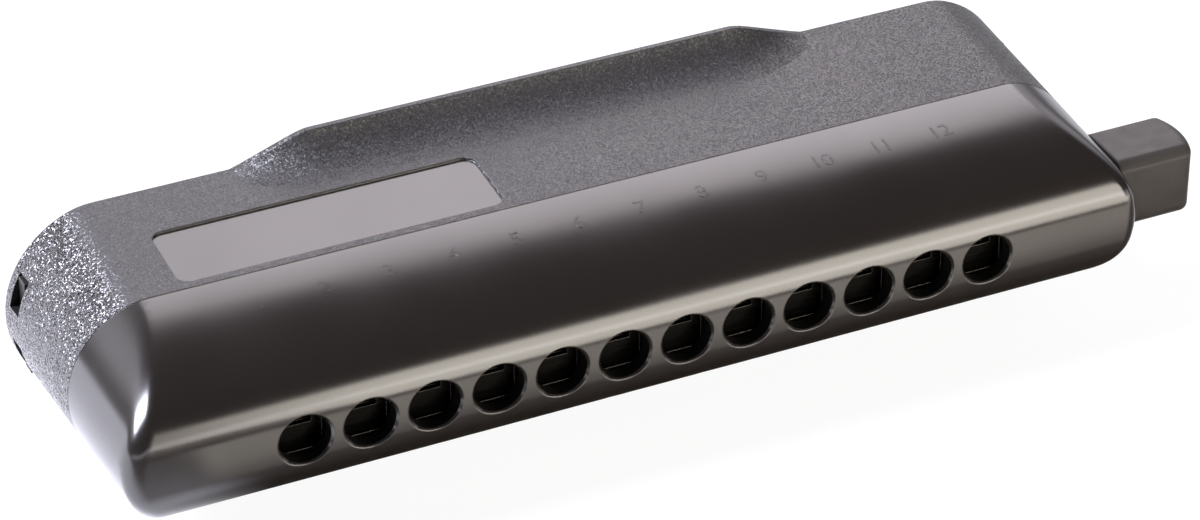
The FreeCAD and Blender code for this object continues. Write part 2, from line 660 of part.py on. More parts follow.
def make_upper_plate():
    """The upper reed plate: a slot for each reed, and bores for rivets and screws."""
    high = ("comb_half", PLATE_TOP)
    plate = box("plate_block", (f"(-{PLATE_HALF})", PLATE_HALF), (PLATE_FRONT, PLATE_REAR), high)
    through = ("(comb_half - overrun)", f"({PLATE_TOP} + overrun)")
    slots = []
    for kind in ("draw", "blow"):
        for hole in range(HOLES):
            x, _, tongue = reed_spans(hole, kind)
            wide = (f"({x[0]} - reed_gap)", f"({x[1]} + reed_gap)")
            long = (f"({tongue[0]} - reed_gap)", f"({tongue[1]} + reed_gap)")
            slots.append(box(f"slot_{kind}_{hole}", wide, long, through))
    slotted = cut("plate_slotted", plate, group("plate_slots", slots))
    drilled = cut("plate_drilled", slotted, rivet_holes("plate_rivet_holes", "comb_half", PLATE_TOP))
    bore = size("screw_bore / 2 + pin_fit")
    start = Vector(0, 0, size("comb_half - overrun"))
    drill = Part.makeCylinder(bore, size("plate_sheet + 2 * overrun"), start)
    return cut("upper_reed_plate", drilled, shape("plate_screw_holes", copies(drill, screw_places())))


def make_upper_reeds(kind):
    """Twelve reeds: the draw reeds lie on the plate, the blow reeds under it."""
    high = (PLATE_TOP, f"({PLATE_TOP} + reed_sheet)")
    if kind == "blow":
        high = ("(comb_half - reed_sheet)", "comb_half")
    reeds = []
    for hole in range(HOLES):
        x, foot, tongue = reed_spans(hole, kind)
        ends = (foot[0], tongue[1]) if kind == "draw" else (tongue[0], foot[1])
        reeds.append(box(f"reed_{kind}_{hole}", x, ends, high))
    holes = rivet_holes(f"{kind}_reed_rivet_holes", "comb_half", PLATE_TOP)
    return cut(f"upper_{kind}_reeds", group(f"{kind}_reed_blanks", reeds), holes)


def make_upper_valves(side):
    """Twelve valves: the outer ones lie over the blow slots, the inner ones under the draw slots."""
    outer = side == "outer"
    kind = "blow" if outer else "draw"
    high = (PLATE_TOP, f"({PLATE_TOP} + valve_sheet)")
    if not outer:
        high = ("(comb_half - valve_sheet)", "comb_half")
    valves = []
    for hole in range(HOLES):
        x, _, tongue = reed_spans(hole, kind)
        middle = f"(({x[0]} + {x[1]}) / 2)"
        wide = (f"({middle} - valve_width / 2)", f"({middle} + valve_width / 2)")
        long = (f"({tongue[0]} - valve_lap)", f"({tongue[1]} - valve_gap)")
        if not outer:
            long = (f"({tongue[0]} + valve_gap)", f"({tongue[1]} + valve_lap)")
        valves.append(box(f"valve_{side}_{hole}", wide, long, high))
    return group(f"upper_{side}_valves", valves)


def rivet(low, high):
    """One rivet whose heads lie outside two heights."""
    cap = size("rivet_cap")
    shank = Part.makeCylinder(size("rivet_bore / 2"), high - low, Vector(0, 0, low))
    heads = [Part.makeCylinder(size("rivet_head / 2"), cap, Vector(0, 0, z)) for z in (low - cap, high)]
    return shank.multiFuse(heads).removeSplitter()


def make_upper_rivets():
    """The rivets of the upper plate's reeds."""
    draw = rivet(size("comb_half"), size(f"{PLATE_TOP} + reed_sheet"))
    blow = rivet(size("comb_half - reed_sheet"), size(PLATE_TOP))
    sets = [copies(draw, rivet_places("draw")), copies(blow, rivet_places("blow"))]
    return shape("upper_rivets", Part.makeCompound(sets))


# Slide's stop, spring and button
def make_slide_bumper():
    """The rubber stop on the comb's left end, which the slide's tab rests against."""
    front = f"({COMB_FRONT} + stop_rise)"
    pad = box("stop_pad_block", (f"(-{COMB_HALF} - stop_pad)", f"(-{COMB_HALF})"),
              (front, f"({SLIDE_FRONT} + tab_depth)"), ("(-stop_half)", "stop_half"))
    return group("slide_bumper", [pad])


def make_slide_spring():
    """A round-wire coil on the spigot, one unbroken tube of quarter-turn arcs."""
    radius = size("(spring_outer - spring_wire) / 2")
    wire = size("spring_wire / 2")
    left = -size(f"{SPRING_WALL} - spring_seat") + wire
    right = size(f"{TAB_LEFT} - spring_play") - wire
    turns = round(size("spring_turns"))
    steps = TURN_ARCS * turns

    def point(step):
        angle = 2 * math.pi * step / TURN_ARCS
        along = left + (right - left) * step / steps
        return Vector(along, size(SPRING_Y) + radius * math.cos(angle), radius * math.sin(angle))

    arcs = [Part.Arc(point(step), point(step + 1 / 2), point(step + 1)).toShape() for step in range(steps)]
    start = arcs[0]
    direction = start.tangentAt(start.FirstParameter)
    ring = Part.Wire([Part.makeCircle(wire, point(0), direction)])
    tube = Part.Wire(arcs).makePipeShell([ring], True, False)
    pitch = (right - left) / turns
    print(f"slide_spring: gap between turns {pitch - 2 * wire:.2f} at rest, "
          f"{pitch - size(TRAVEL) / turns - 2 * wire:.2f} pressed")
    return shape("slide_spring", tube)


def button_cap():
    """The button's cap: a block with a round end and soft edges."""
    tall = size("2 * button_half")
    start = Vector(size(BUTTON_LEFT), size("button_front"), -size("button_half"))
    block = Part.makeBox(size("button_reach"), size("button_depth"), tall, start)
    centre = start + Vector(size("button_reach - button_dome"), size("button_depth / 2"), 0)
    dome = Part.makeCylinder(size("button_dome"), tall, centre)
    straight = Part.makeBox(centre.x - start.x, size("button_depth"), tall, start)
    block = block.common(dome.fuse(straight)).removeSplitter()
    soft = [edge for edge in block.Edges if edge.BoundBox.XMax > start.x + size("button_edge")]
    return block.makeFillet(size("button_edge"), soft)


def make_slide_button():
    """The push button, with a neck into the casing and a tang behind the slide's tail."""
    cap = shape("button_cap", button_cap())
    tall = ("(-neck_half)", "neck_half")
    root = (TANG_LEFT, f"({BUTTON_LEFT} + button_edge)")
    neck = box("button_neck", root, ("(button_front + neck_inset)", f"({BUTTON_REAR} - neck_inset)"), tall)
    tang = box("button_tang", (TANG_LEFT, TAIL_END), (SLIDE_REAR, f"({SLIDE_REAR} + tang_depth)"), tall)
    solid = fuse("button_solid", [cap, neck, tang])
    deep = f"({SLIDE_FRONT} + tang_pin_length + pin_fit)"
    holes = [
        rod(f"button_pin_hole_{number}", "tang_pin + 2 * pin_fit", f"{deep} - {SLIDE_FRONT}",
            TANG_PIN_X, SLIDE_FRONT, z, ALONG_Y)
        for number, z in enumerate(("tang_pin_half", "-tang_pin_half"))
    ]
    return cut("slide_button", solid, group("button_pin_holes", holes))


def make_button_pins():
    """Two headed pins that hold the slide's tail to the button's tang."""
    pins = []
    for number, z in enumerate(("tang_pin_half", "-tang_pin_half")):
        shank = rod(f"pin_shank_{number}", "tang_pin", "tang_pin_length", TANG_PIN_X, SLIDE_FRONT, z, ALONG_Y)
        head = rod(f"pin_head_{number}", "tang_pin_head", "tang_pin_cap",
                   TANG_PIN_X, f"{SLIDE_FRONT} - tang_pin_cap", z, ALONG_Y)
        pins.append(fuse(f"pin_{number}", [shank, head]))
    return group("button_pins", pins)


def make_nodes():
    """Every sub-part, by the name of its node."""
    nodes = {
        "housing": make_housing(),
        "mouth_plate": make_mouth_plate(),
        "slide": make_slide(),
        "slide_seal": make_slide_seal(),
        "comb": make_comb(),
        "plate_screws": make_plate_screws(),
        "upper_reed_plate": make_upper_plate(),
        "upper_draw_reeds": make_upper_reeds("draw"),
        "upper_blow_reeds": make_upper_reeds("blow"),
        "upper_outer_valves": make_upper_valves("outer"),
        "upper_inner_valves": make_upper_valves("inner"),
        "upper_rivets": make_upper_rivets(),
        "slide_bumper": make_slide_bumper(),
        "slide_spring": make_slide_spring(),
        "slide_button": make_slide_button(),
        "button_pins": make_button_pins(),
    }
    for name in [name for name in nodes if name.startswith("upper_")]:
        below = name.replace("upper_", "lower_")
        nodes[below] = mirror(below, nodes[name], UP)
    return nodes


def set_on_land(nodes):
    """Label each sub-part and set it on the rest land; a lower one follows its upper twin."""
    for name, item in nodes.items():
        item.Label = name
        if item.TypeId == "Part::Mirroring":
            item.setExpression("Base.z", bound(LIP_TOP))
        else:
            place(item, "0", f"-{LAND_Y}", LIP_TOP)


def check(nodes):
    """Stop on an object that failed, or a sub-part that is empty or not valid."""
    for item in doc.Objects:
        if {"Invalid", "Error"} & set(item.State):
            raise RuntimeError(f"{item.Name} failed: {item.State}")
    for name, item in nodes.items():
        if item.Shape.isNull() or not item.Shape.isValid() or not item.Shape.Solids:
            raise RuntimeError(f"{name} has no sound shape")


NODES = make_nodes()
set_on_land(NODES)
doc.recompute()
check(NODES)
os.makedirs("parts", exist_ok=True)
for node, part in NODES.items():
    part.Shape.exportStep(f"parts/{node}.step")
    spans = part.Shape.BoundBox
    print(f"{node}: {len(part.Shape.Solids)} solids, {part.Shape.Volume:.1f} mm3, "
          f"Y {spans.YMin:.2f} to {spans.YMax:.2f}, Z {spans.ZMin:.2f} to {spans.ZMax:.2f}")
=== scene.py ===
"""Looks of a twelve-hole chromatic harmonica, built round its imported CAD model."""

import math

import bmesh
import bpy
import numpy as np
from mathutils import Matrix, Vector
from mathutils.kdtree import KDTree


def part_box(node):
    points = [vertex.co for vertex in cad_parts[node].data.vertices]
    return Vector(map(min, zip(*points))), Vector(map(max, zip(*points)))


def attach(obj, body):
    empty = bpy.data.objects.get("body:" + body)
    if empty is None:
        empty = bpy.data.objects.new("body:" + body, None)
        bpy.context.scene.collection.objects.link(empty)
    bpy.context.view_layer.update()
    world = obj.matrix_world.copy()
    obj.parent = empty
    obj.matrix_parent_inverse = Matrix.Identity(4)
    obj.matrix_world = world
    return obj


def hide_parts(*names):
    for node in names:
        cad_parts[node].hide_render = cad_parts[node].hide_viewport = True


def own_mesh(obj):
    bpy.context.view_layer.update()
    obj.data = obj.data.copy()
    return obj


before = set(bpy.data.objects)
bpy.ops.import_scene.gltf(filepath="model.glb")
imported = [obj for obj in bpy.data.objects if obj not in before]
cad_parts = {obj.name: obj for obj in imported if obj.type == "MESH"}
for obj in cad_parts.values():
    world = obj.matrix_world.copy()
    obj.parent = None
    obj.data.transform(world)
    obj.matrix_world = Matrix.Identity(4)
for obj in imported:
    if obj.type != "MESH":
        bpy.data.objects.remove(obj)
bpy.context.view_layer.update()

MM = 0.001

# Sizes of the casing, in millimetres; Y runs from the mouth face and Z from the row of holes
MOUTH_Y = -43.1
ROW_Z = 18.3
HOLE_COUNT = 12
HOLE_PITCH = 9.1
DEPTH = 43.5
FRONT_HALF = 74.2
END_FLARE = 1.7
END_BULGE = 0.35
FACE_HALF = 2.7
NOSE_LIFT = 7.1
NOSE_REACH = 11
SHOULDER_Y = 21
SHOULDER_HALF = 13
REAR_HALF = 14.6
FACE_ROUND = 2.3
CREASE_ROUND = 10
SLOPE = (REAR_HALF - SHOULDER_HALF) / (DEPTH - SHOULDER_Y)
PANEL = ((-58.3, 22.3), (-11.7, 34))
RECESS_CLEAR = 0.2
HOLE_X = [HOLE_PITCH * (hole - (HOLE_COUNT - 1) / 2) for hole in range(HOLE_COUNT)]

# How finely its side profile is sampled
FACE_STEPS = 100
NOSE_STEPS = 1200
FLANK_STEPS = 400

# Raised numerals over the holes
NUMERAL_Y = 14.7
NUMERAL_TALL = 2.4
NUMERAL_RAISE = 0.022
NUMERAL_CUTS = 8
NUMERAL_STEPS = 400
# A digit's height beside its font's size, and what brings the bevelled height back near the raise
DIGIT_SHARE = 0.7
BEVELLED_SHARE = 0.7

# Spring inside the left end
SPRING_WIRE = 0.225
SPRING_TURNS = 4
SPRING_STEPS = 48
SPRING_EASE = 0.45
WIRE_SIDES = 12

# How near the exact skin a corner takes its normal, and how deep and how turned a face is inside
SKIN_GAP = 0.06
CREASE_GAP = 0.16
SKIN_LEAN = 0.94
INNER_GAP = -0.3
INNER_LEAN = -0.3

# Noise scales of the eroded grain, per metre: its facets, its pits and its dark pits
GRAIN_FACETS = 5000
GRAIN_PITS = 3800
GRAIN_DARK_PITS = 4400

# Camera, in degrees, millimetres and metres
CAMERA_TURN = 25.0219
CAMERA_TILT = 33.3165
CAMERA_LENS = 137.22
CAMERA_PLACE = (-0.21849, -0.49331, 0.36106)

# Light, in metres
MIDDLE = Vector((0, -0.02, 0.018))
WARM = (1.0, 0.935, 0.83)
ROSE = (1.0, 0.925, 0.96)
BLUE = (0.84, 0.85, 1.0)
FLAT_LAMP_RIGHT = 0.33
FLAT_LAMP_Z = 0.001

# The room by the way one looks in it: the backdrop behind, and the haze in front
BACKDROP_Y, BACKDROP_Z = (0.1, 0.6), (0.1, 0.4)
BACKDROP_GLOW = (0.28, 1.35)
BACKDROP_END_Z = (0.58, 0.78)
HAZE_Y, HAZE_Z = (-0.3, -0.1), (0.0, 0.16)
HAZE_GLOW = 2.4
ROOM_GLOW = 0.06
ROOM_TINT = (0.95, 0.92, 1, 1)

# Inputs of the node that fades one value into another
RAMP_KEYS = ("Value", "From Min", "From Max", "To Min", "To Max")

# Where each patch of the floor's painted shade and painted glow fades in, in metres
AHEAD_Y, AHEAD_X = (-0.094, -0.1), (-0.076, -0.046)
LEFT_X, LEFT_Y = (-0.05, -0.062), (-0.075, -0.05)
RIGHT_X, RIGHT_Y = (0.078, 0.088), (-0.045, -0.025)
BEHIND_Y = (0.0, 0.03)
COOLING_Y = (-0.07, -0.05)
# The floor's shades: painted shade close in front and a paler painted patch at the left, both seen
# only in reflections; its own shade to matt rays and under the camera's white
FLOOR_PAINTED_SHADE = (0.11, 0.099, 0.087)
FLOOR_PALE = (0.7, 0.7, 0.7)
FLOOR_MATT = (0.86, 0.86, 0.86)
FLOOR_SHADOWED = (0.12, 0.12, 0.12)
FLOOR_GLOW = 0.93


# Camera, floor and light
def make_camera():
    """The camera that was fitted to the hole centres and the outlines of the photograph."""
    turn, tilt = math.radians(CAMERA_TURN), math.radians(CAMERA_TILT)
    ahead = Vector((math.sin(turn) * math.cos(tilt), math.cos(turn) * math.cos(tilt), -math.sin(tilt)))
    right = Vector((math.cos(turn), -math.sin(turn), 0))
    up = right.cross(ahead)
    data = bpy.data.cameras.new("camera")
    data.lens = CAMERA_LENS
    data.sensor_width = 36
    data.sensor_fit = "HORIZONTAL"
    data.clip_start = 0.01
    data.clip_end = 50
    camera = bpy.data.objects.new("camera", data)
    pose = Matrix((right, up, -ahead)).transposed().to_4x4()
    pose.translation = Vector(CAMERA_PLACE)
    camera.matrix_world = pose
    bpy.context.scene.collection.objects.link(camera)
    bpy.context.scene.camera = camera


def around(azimuth, elevation, distance):
    """A place seen from the object; azimuth 0 is behind it and 90 right of it."""
    az, el = math.radians(azimuth), math.radians(elevation)
    way = Vector((math.sin(az) * math.cos(el), math.cos(az) * math.cos(el), math.sin(el)))
    return MIDDLE + distance * way


def soft_box(name, centre, aim, size, radiance, colour):
    """A rectangular lamp that faces a point; the camera doesn't see it."""
    width, height = size
    data = bpy.data.lights.new(name, "AREA")
    data.shape = "RECTANGLE"
    data.size = width
    data.size_y = height
    data.energy = radiance * math.pi * width * height
    data.color = colour
    lamp = bpy.data.objects.new(name, data)
    lamp.location = centre
    lamp.rotation_mode = "QUATERNION"
    lamp.rotation_quaternion = (Vector(aim) - Vector(centre)).to_track_quat("-Z", "Y")
    lamp.visible_camera = False
    bpy.context.scene.collection.objects.link(lamp)


def make_lamps():
    """Soft boxes behind, in front and above that, at the left, and two flat on the floor in front."""
    soft_box("box_behind", around(28, 33.5, 1.0), MIDDLE, (0.46, 0.56), 2.8, ROSE)
    for name, z, tall, radiance in (("box_front", 0.1, 0.2, 5.4), ("box_above", 0.22, 0.04, 1.1)):
        soft_box(name, (0.19, -0.37, z), (0.06, -0.04, z), (0.31, tall), radiance, WARM)
    soft_box("box_left", around(-67, 48, 0.9), MIDDLE, (0.3, 0.68), 40, BLUE)
    for name, left, near, far, radiance in (
        ("box_low", -0.024, -0.094, -0.4, 4.6),
        ("box_strip", -0.056, -0.064, -0.076, 1.6),
    ):
        centre = Vector(((left + FLAT_LAMP_RIGHT) / 2, (near + far) / 2, FLAT_LAMP_Z))
        size = (FLAT_LAMP_RIGHT - left, near - far)
        soft_box(name, centre, centre + Vector((0, 0, 1)), size, radiance, WARM)


def make_room():
    """A dim room, pale low behind the object and near the horizon in front; white to the camera."""
    world = bpy.data.worlds.new("room")
    bpy.context.scene.world = world
    world.use_nodes = True
    tree = world.node_tree
    tree.nodes.clear()
    way = tree.nodes.new("ShaderNodeSeparateXYZ")
    tree.links.new(tree.nodes.new("ShaderNodeTexCoord").outputs["Generated"], way.inputs[0])

    def fade(value, low, high, to_low, to_high):
        item = tree.nodes.new("ShaderNodeMapRange")
        item.interpolation_type = "SMOOTHSTEP"
        tree.links.new(value, item.inputs["Value"])
        for key, entry in zip(RAMP_KEYS[1:], (low, high, to_low, to_high)):
            item.inputs[key].default_value = entry
        return item.outputs[0]

    def combined(operation, first, second, third=0.0):
        item = tree.nodes.new("ShaderNodeMath")
        item.operation = operation
        tree.links.new(first, item.inputs[0])
        tree.links.new(second, item.inputs[1])
        item.inputs[2].default_value = third
        return item.outputs[0]

    y, z = way.outputs["Y"], way.outputs["Z"]
    backdrop = combined("MULTIPLY", fade(y, *BACKDROP_Y, 0, 1), fade(z, *BACKDROP_Z, *BACKDROP_GLOW))
    behind = combined("MULTIPLY_ADD", backdrop, fade(z, *BACKDROP_END_Z, 1, 0), ROOM_GLOW)
    haze = combined("MULTIPLY", fade(z, *HAZE_Z, HAZE_GLOW, 0), fade(y, *HAZE_Y, 1, 0))
    room = tree.nodes.new("ShaderNodeBackground")
    tree.links.new(combined("ADD", behind, haze), room.inputs["Strength"])
    white = tree.nodes.new("ShaderNodeBackground")
    room.inputs["Color"].default_value = ROOM_TINT
    white.inputs["Color"].default_value = (1, 1, 1, 1)
    pick = tree.nodes.new("ShaderNodeMixShader")
    tree.links.new(tree.nodes.new("ShaderNodeLightPath").outputs["Is Camera Ray"], pick.inputs[0])
    tree.links.new(room.outputs[0], pick.inputs[1])
    tree.links.new(white.outputs[0], pick.inputs[2])
    out = tree.nodes.new("ShaderNodeOutputWorld")
    tree.links.new(pick.outputs[0], out.inputs["Surface"])
    bpy.context.scene.view_settings.view_transform = "Standard"


def make_floor():
    """A plain pale floor that stays white to the camera but keeps a soft shadow; in reflections it
    shows painted shade and painted glow.
    """
    bpy.ops.mesh.primitive_plane_add(size=1.4, location=(0, 0, 0))
    floor = bpy.context.object
    floor.name = "floor"
    g = Graph("floor_white")
    x, y = g.axis("X"), g.axis("Y")
    # Mirrored in the casing, it has painted shade close in front, and a painted glow further out and
    # at both ends
    ahead = g.math("MULTIPLY", g.ramp(y, *AHEAD_Y), g.ramp(x, *AHEAD_X))
    left = g.math("MULTIPLY", g.ramp(x, *LEFT_X), g.ramp(y, *LEFT_Y))
    share = g.math("MAXIMUM", g.math("MAXIMUM", ahead, left), g.ramp(y, *BEHIND_Y, 0, 0.5))
    right = g.math("MULTIPLY", g.ramp(x, *RIGHT_X), g.ramp(y, *RIGHT_Y, 0, 0.9))
    painted_mirror_shade = g.colour(left, FLOOR_PAINTED_SHADE, FLOOR_PALE)
    light = g.add("ShaderNodeLightPath")

    def matt(shade):
        item = g.add("ShaderNodeBsdfDiffuse")
        g.feed(item.inputs["Color"], shade)
        return item.outputs[0]

    def mixed(share, first, second):
        item = g.add("ShaderNodeMixShader")
        for socket, value in zip(item.inputs, (share, first, second)):
            g.feed(socket, value)
        return item.outputs[0]

    def glowing(strength, shade, tint=(1, 1, 1)):
        white = g.add("ShaderNodeEmission")
        g.feed(white.inputs["Strength"], strength)
        g.feed(white.inputs["Color"], tint)
        both = g.add("ShaderNodeAddShader")
        g.feed(both.inputs[0], white.outputs[0])
        g.feed(both.inputs[1], matt(shade))
        return both.outputs[0]

    # The painted glow's tint and strength: warm in front, cooler and stronger further back
    tint = g.colour(g.ramp(y, *COOLING_Y), (1.0, 0.93, 0.83), (0.92, 0.93, 1.0))
    glow = g.math("MULTIPLY", share, g.ramp(y, *COOLING_Y, 0.36, 0.5))
    mirrored = glowing(g.math("MAXIMUM", glow, right), painted_mirror_shade, tint)
    plain = mixed(light.outputs["Is Glossy Ray"], matt(FLOOR_MATT), mirrored)
    surface = mixed(light.outputs["Is Camera Ray"], plain, glowing(FLOOR_GLOW, FLOOR_SHADOWED))
    g.tree.nodes.remove(g.shader)
    g.tree.links.new(surface, g.out.inputs["Surface"])
    floor.data.materials.append(g.material)


# Casing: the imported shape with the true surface's own normals
def nose_points(steps):
    """Points and outward directions along the upper nose, in Y and Z."""
    reach = NOSE_REACH / math.hypot(1, SLOPE)
    a, b, c, d = np.array([
        (0, FACE_HALF),
        (0, FACE_HALF + NOSE_LIFT),
        (SHOULDER_Y - reach, SHOULDER_HALF - SLOPE * reach),
        (SHOULDER_Y, SHOULDER_HALF),
    ])
    t = np.linspace(0, 1, steps)[:, None]
    points = (1 - t) ** 3 * a + 3 * (1 - t) ** 2 * t * b + 3 * (1 - t) * t ** 2 * c + t ** 3 * d
    run = (1 - t) ** 2 * (b - a) + 2 * (1 - t) * t * (c - b) + t ** 2 * (d - c)
    outward = np.column_stack([-run[:, 1], run[:, 0]])
    return points, outward / np.linalg.norm(outward, axis=1)[:, None]


def profile_samples():
    """Points and outward directions along the whole upper side profile."""
    nose, nose_out = nose_points(NOSE_STEPS)
    face_z = np.linspace(-FACE_HALF, FACE_HALF, FACE_STEPS)
    face = np.column_stack([np.zeros(FACE_STEPS), face_z])
    face_out = np.tile((-1.0, 0.0), (FACE_STEPS, 1))
    flank_y = np.linspace(SHOULDER_Y, DEPTH + 1, FLANK_STEPS)
    flank = np.column_stack([flank_y, SHOULDER_HALF + SLOPE * (flank_y - SHOULDER_Y)])
    flank_out = np.tile(np.array((-SLOPE, 1.0)) / math.hypot(SLOPE, 1), (FLANK_STEPS, 1))
    return np.vstack([face, nose, flank]), np.vstack([face_out, nose_out, flank_out])


def outside_normals(points):
    """How far points lie off the casing's rounded outside, and its outward normals there."""
    x, y, z = points[:, 0], points[:, 1] - MOUTH_Y, points[:, 2] - ROW_Z
    samples, sample_out = profile_samples()
    tree = KDTree(len(samples))
    for number, (sample_y, sample_z) in enumerate(samples):
        tree.insert((sample_y, sample_z, 0), number)
    tree.balance()
    near = np.array([tree.find((a, b, 0))[1] for a, b in zip(y, np.abs(z))])
    flat = sample_out[near]
    profile_gap = ((np.column_stack([y, np.abs(z)]) - samples[near]) * flat).sum(1)
    over = np.column_stack([np.zeros(len(x)), flat[:, 0], flat[:, 1] * np.sign(z)])
    # The tapered round end
    radius = SHOULDER_HALF + END_BULGE + SLOPE * (y - SHOULDER_Y)
    flare = END_FLARE / DEPTH
    side = np.maximum(np.abs(x) - (FRONT_HALF + flare * y - radius), 0)
    length = np.maximum(np.hypot(side, z), 1e-9)
    end_gap = length - radius
    away = side / length
    end = np.column_stack([np.sign(x) * away, -(flare - SLOPE) * away - SLOPE, z / length])
    end /= np.linalg.norm(end, axis=1)[:, None]
    # The ball that rolls along the crease between the two
    ball = FACE_ROUND + (CREASE_ROUND - FACE_ROUND) * np.clip(y / SHOULDER_Y, 0, 1)
    first, second = profile_gap + ball, end_gap + ball
    dot = np.clip((over * end).sum(1), -1, 0.9999)
    alpha = (first - dot * second) / (1 - dot ** 2)
    beta = (second - dot * first) / (1 - dot ** 2)
    in_crease = (alpha > 0) & (beta > 0)
    blend = over * alpha[:, None] + end * beta[:, None]
    reach = np.linalg.norm(blend, axis=1)
    plain = np.where((profile_gap > end_gap)[:, None], over, end)
    normal = np.where(in_crease[:, None], blend / np.maximum(reach, 1e-9)[:, None], plain)
    gap = np.where(in_crease, reach - ball, np.maximum(profile_gap, end_gap))
    return gap, normal, in_crease


def read(items, key, width, kind=np.float32):
    """One attribute of many mesh elements as an array."""
    values = np.zeros(len(items) * width, kind)
    items.foreach_get(key, values)
    return values.reshape(-1, width) if width > 1 else values


def make_casing():
    """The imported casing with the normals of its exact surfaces, for clean reflections."""
    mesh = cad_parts["housing"].data.copy()
    mesh.name = "casing"
    points = read(mesh.vertices, "co", 3).astype(float) / MM
    corner = read(mesh.loops, "vertex_index", 1, np.int32).reshape(-1, 3)
    normals = read(mesh.corner_normals, "vector", 3).astype(float).reshape(-1, 3, 3)
    face_normals = read(mesh.polygons, "normal", 3).astype(float)
    gap, outward, in_crease = outside_normals(points)
    on_skin = np.abs(gap) < np.where(in_crease, CREASE_GAP, SKIN_GAP)
    lean = (face_normals[:, None] * outward[corner]).sum(2)
    skin_face = on_skin[corner].all(1) & (lean.min(1) > SKIN_LEAN)
    normals[skin_face] = outward[corner[skin_face]]
    # A deep face is inside unless it lies along the skin, as the recess's floor does
    inner = lean.max(1) < np.where(gap[corner].mean(1) < INNER_GAP, SKIN_LEAN, INNER_LEAN)
    # The inside takes the second material, darkened as painted shade
    mesh.polygons.foreach_set("material_index", inner.astype(np.int32))
    mesh.normals_split_custom_set([tuple(normal) for normal in normals.reshape(-1, 3)])
    casing = add_piece("casing", mesh, "harmonica")
    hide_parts("housing")
    return casing


def add_piece(name, mesh, body):
    """Link a mesh as a piece that rides on a body."""
    piece = bpy.data.objects.new(name, mesh)
    bpy.context.scene.collection.objects.link(piece)
    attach(piece, body)
    return piece


def make_numerals():
    """The raised numbers over the holes, each wrapped onto the nose."""
    nose, outward = nose_points(NUMERAL_STEPS)
    steps = np.linalg.norm(np.diff(nose, axis=0), axis=1)
    along = np.concatenate([[0], np.cumsum(steps)])
    start = np.interp(NUMERAL_Y, nose[:, 0], along)
    pieces = []
    for hole, middle in enumerate(HOLE_X):
        curve = bpy.data.curves.new(f"numeral_curve_{hole + 1}", "FONT")
        curve.body = str(hole + 1)
        curve.size = NUMERAL_TALL / DIGIT_SHARE
        curve.align_x = "CENTER"
        curve.align_y = "CENTER"
        curve.extrude = NUMERAL_RAISE
        curve.bevel_depth = NUMERAL_RAISE / 2
        curve.bevel_resolution = 2
        text = bpy.data.objects.new("numeral_text", curve)
        bpy.context.scene.collection.objects.link(text)
        bpy.context.view_layer.update()
        shaped = text.evaluated_get(bpy.context.evaluated_depsgraph_get())
        mesh = bpy.data.meshes.new_from_object(shaped)
        bpy.data.objects.remove(text)
        form = bmesh.new()
        form.from_mesh(mesh)
        for share in np.linspace(-0.5, 0.5, NUMERAL_CUTS + 2)[1:-1]:
            parts = form.verts[:] + form.edges[:] + form.faces[:]
            cut = (0, share * NUMERAL_TALL, 0)
            bmesh.ops.bisect_plane(form, geom=parts, plane_co=cut, plane_no=(0, 1, 0))
        for vert in form.verts:
            u, v, w = vert.co
            y, z = (np.interp(start + v, along, nose[:, axis]) for axis in (0, 1))
            out_y, out_z = (np.interp(start + v, along, outward[:, axis]) for axis in (0, 1))
            rise = max(w, -NUMERAL_RAISE) * BEVELLED_SHARE
            vert.co = Vector((middle + u, y + out_y * rise + MOUTH_Y, z + out_z * rise + ROW_Z)) * MM
        form.to_mesh(mesh)
        form.free()
        mesh.shade_smooth()
        pieces.append(add_piece(f"numeral_{hole + 1}", mesh, "harmonica"))
    return pieces


def make_spring():
    """The return spring as a smooth coil."""
    low, high = (Vector(corner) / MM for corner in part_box("slide_spring"))
    radius = (high.z - low.z) / 2 - SPRING_WIRE
    centre_y, centre_z = (low.y + high.y) / 2, (low.z + high.z) / 2
    steps = SPRING_TURNS * SPRING_STEPS
    verts = []
    for step in range(steps + 1):
        share = step / steps
        angle = 2 * math.pi * SPRING_TURNS * share
        # The first and last turns lie closer than the middle ones
        eased = share - math.sin(2 * math.pi * share) / (2 * math.pi) * SPRING_EASE
        x = low.x + SPRING_WIRE + eased * (high.x - low.x - 2 * SPRING_WIRE)
        spoke = Vector((0, math.cos(angle), math.sin(angle)))
        for side in range(WIRE_SIDES):
            turn = 2 * math.pi * side / WIRE_SIDES
            ring = spoke * math.cos(turn) * SPRING_WIRE + Vector((math.sin(turn) * SPRING_WIRE, 0, 0))
            verts.append((Vector((x, centre_y, centre_z)) + spoke * radius + ring) * MM)
    faces = []
    for step in range(steps):
        for side in range(WIRE_SIDES):
            a, b = step * WIRE_SIDES + side, step * WIRE_SIDES + (side + 1) % WIRE_SIDES
            faces.append((a, b, b + WIRE_SIDES, a + WIRE_SIDES))
    faces.append(tuple(range(WIRE_SIDES)))
    faces.append(tuple(reversed(range(steps * WIRE_SIDES, (steps + 1) * WIRE_SIDES))))
    mesh = bpy.data.meshes.new("spring_coil")
    mesh.from_pydata(verts, [], faces)
    form = bmesh.new()
    form.from_mesh(mesh)
    bmesh.ops.recalc_face_normals(form, faces=form.faces[:])
    form.to_mesh(mesh)
    form.free()
    mesh.shade_smooth()
    spring = add_piece("spring_coil", mesh, "harmonica")
    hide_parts("slide_spring")
    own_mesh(spring)
    return spring


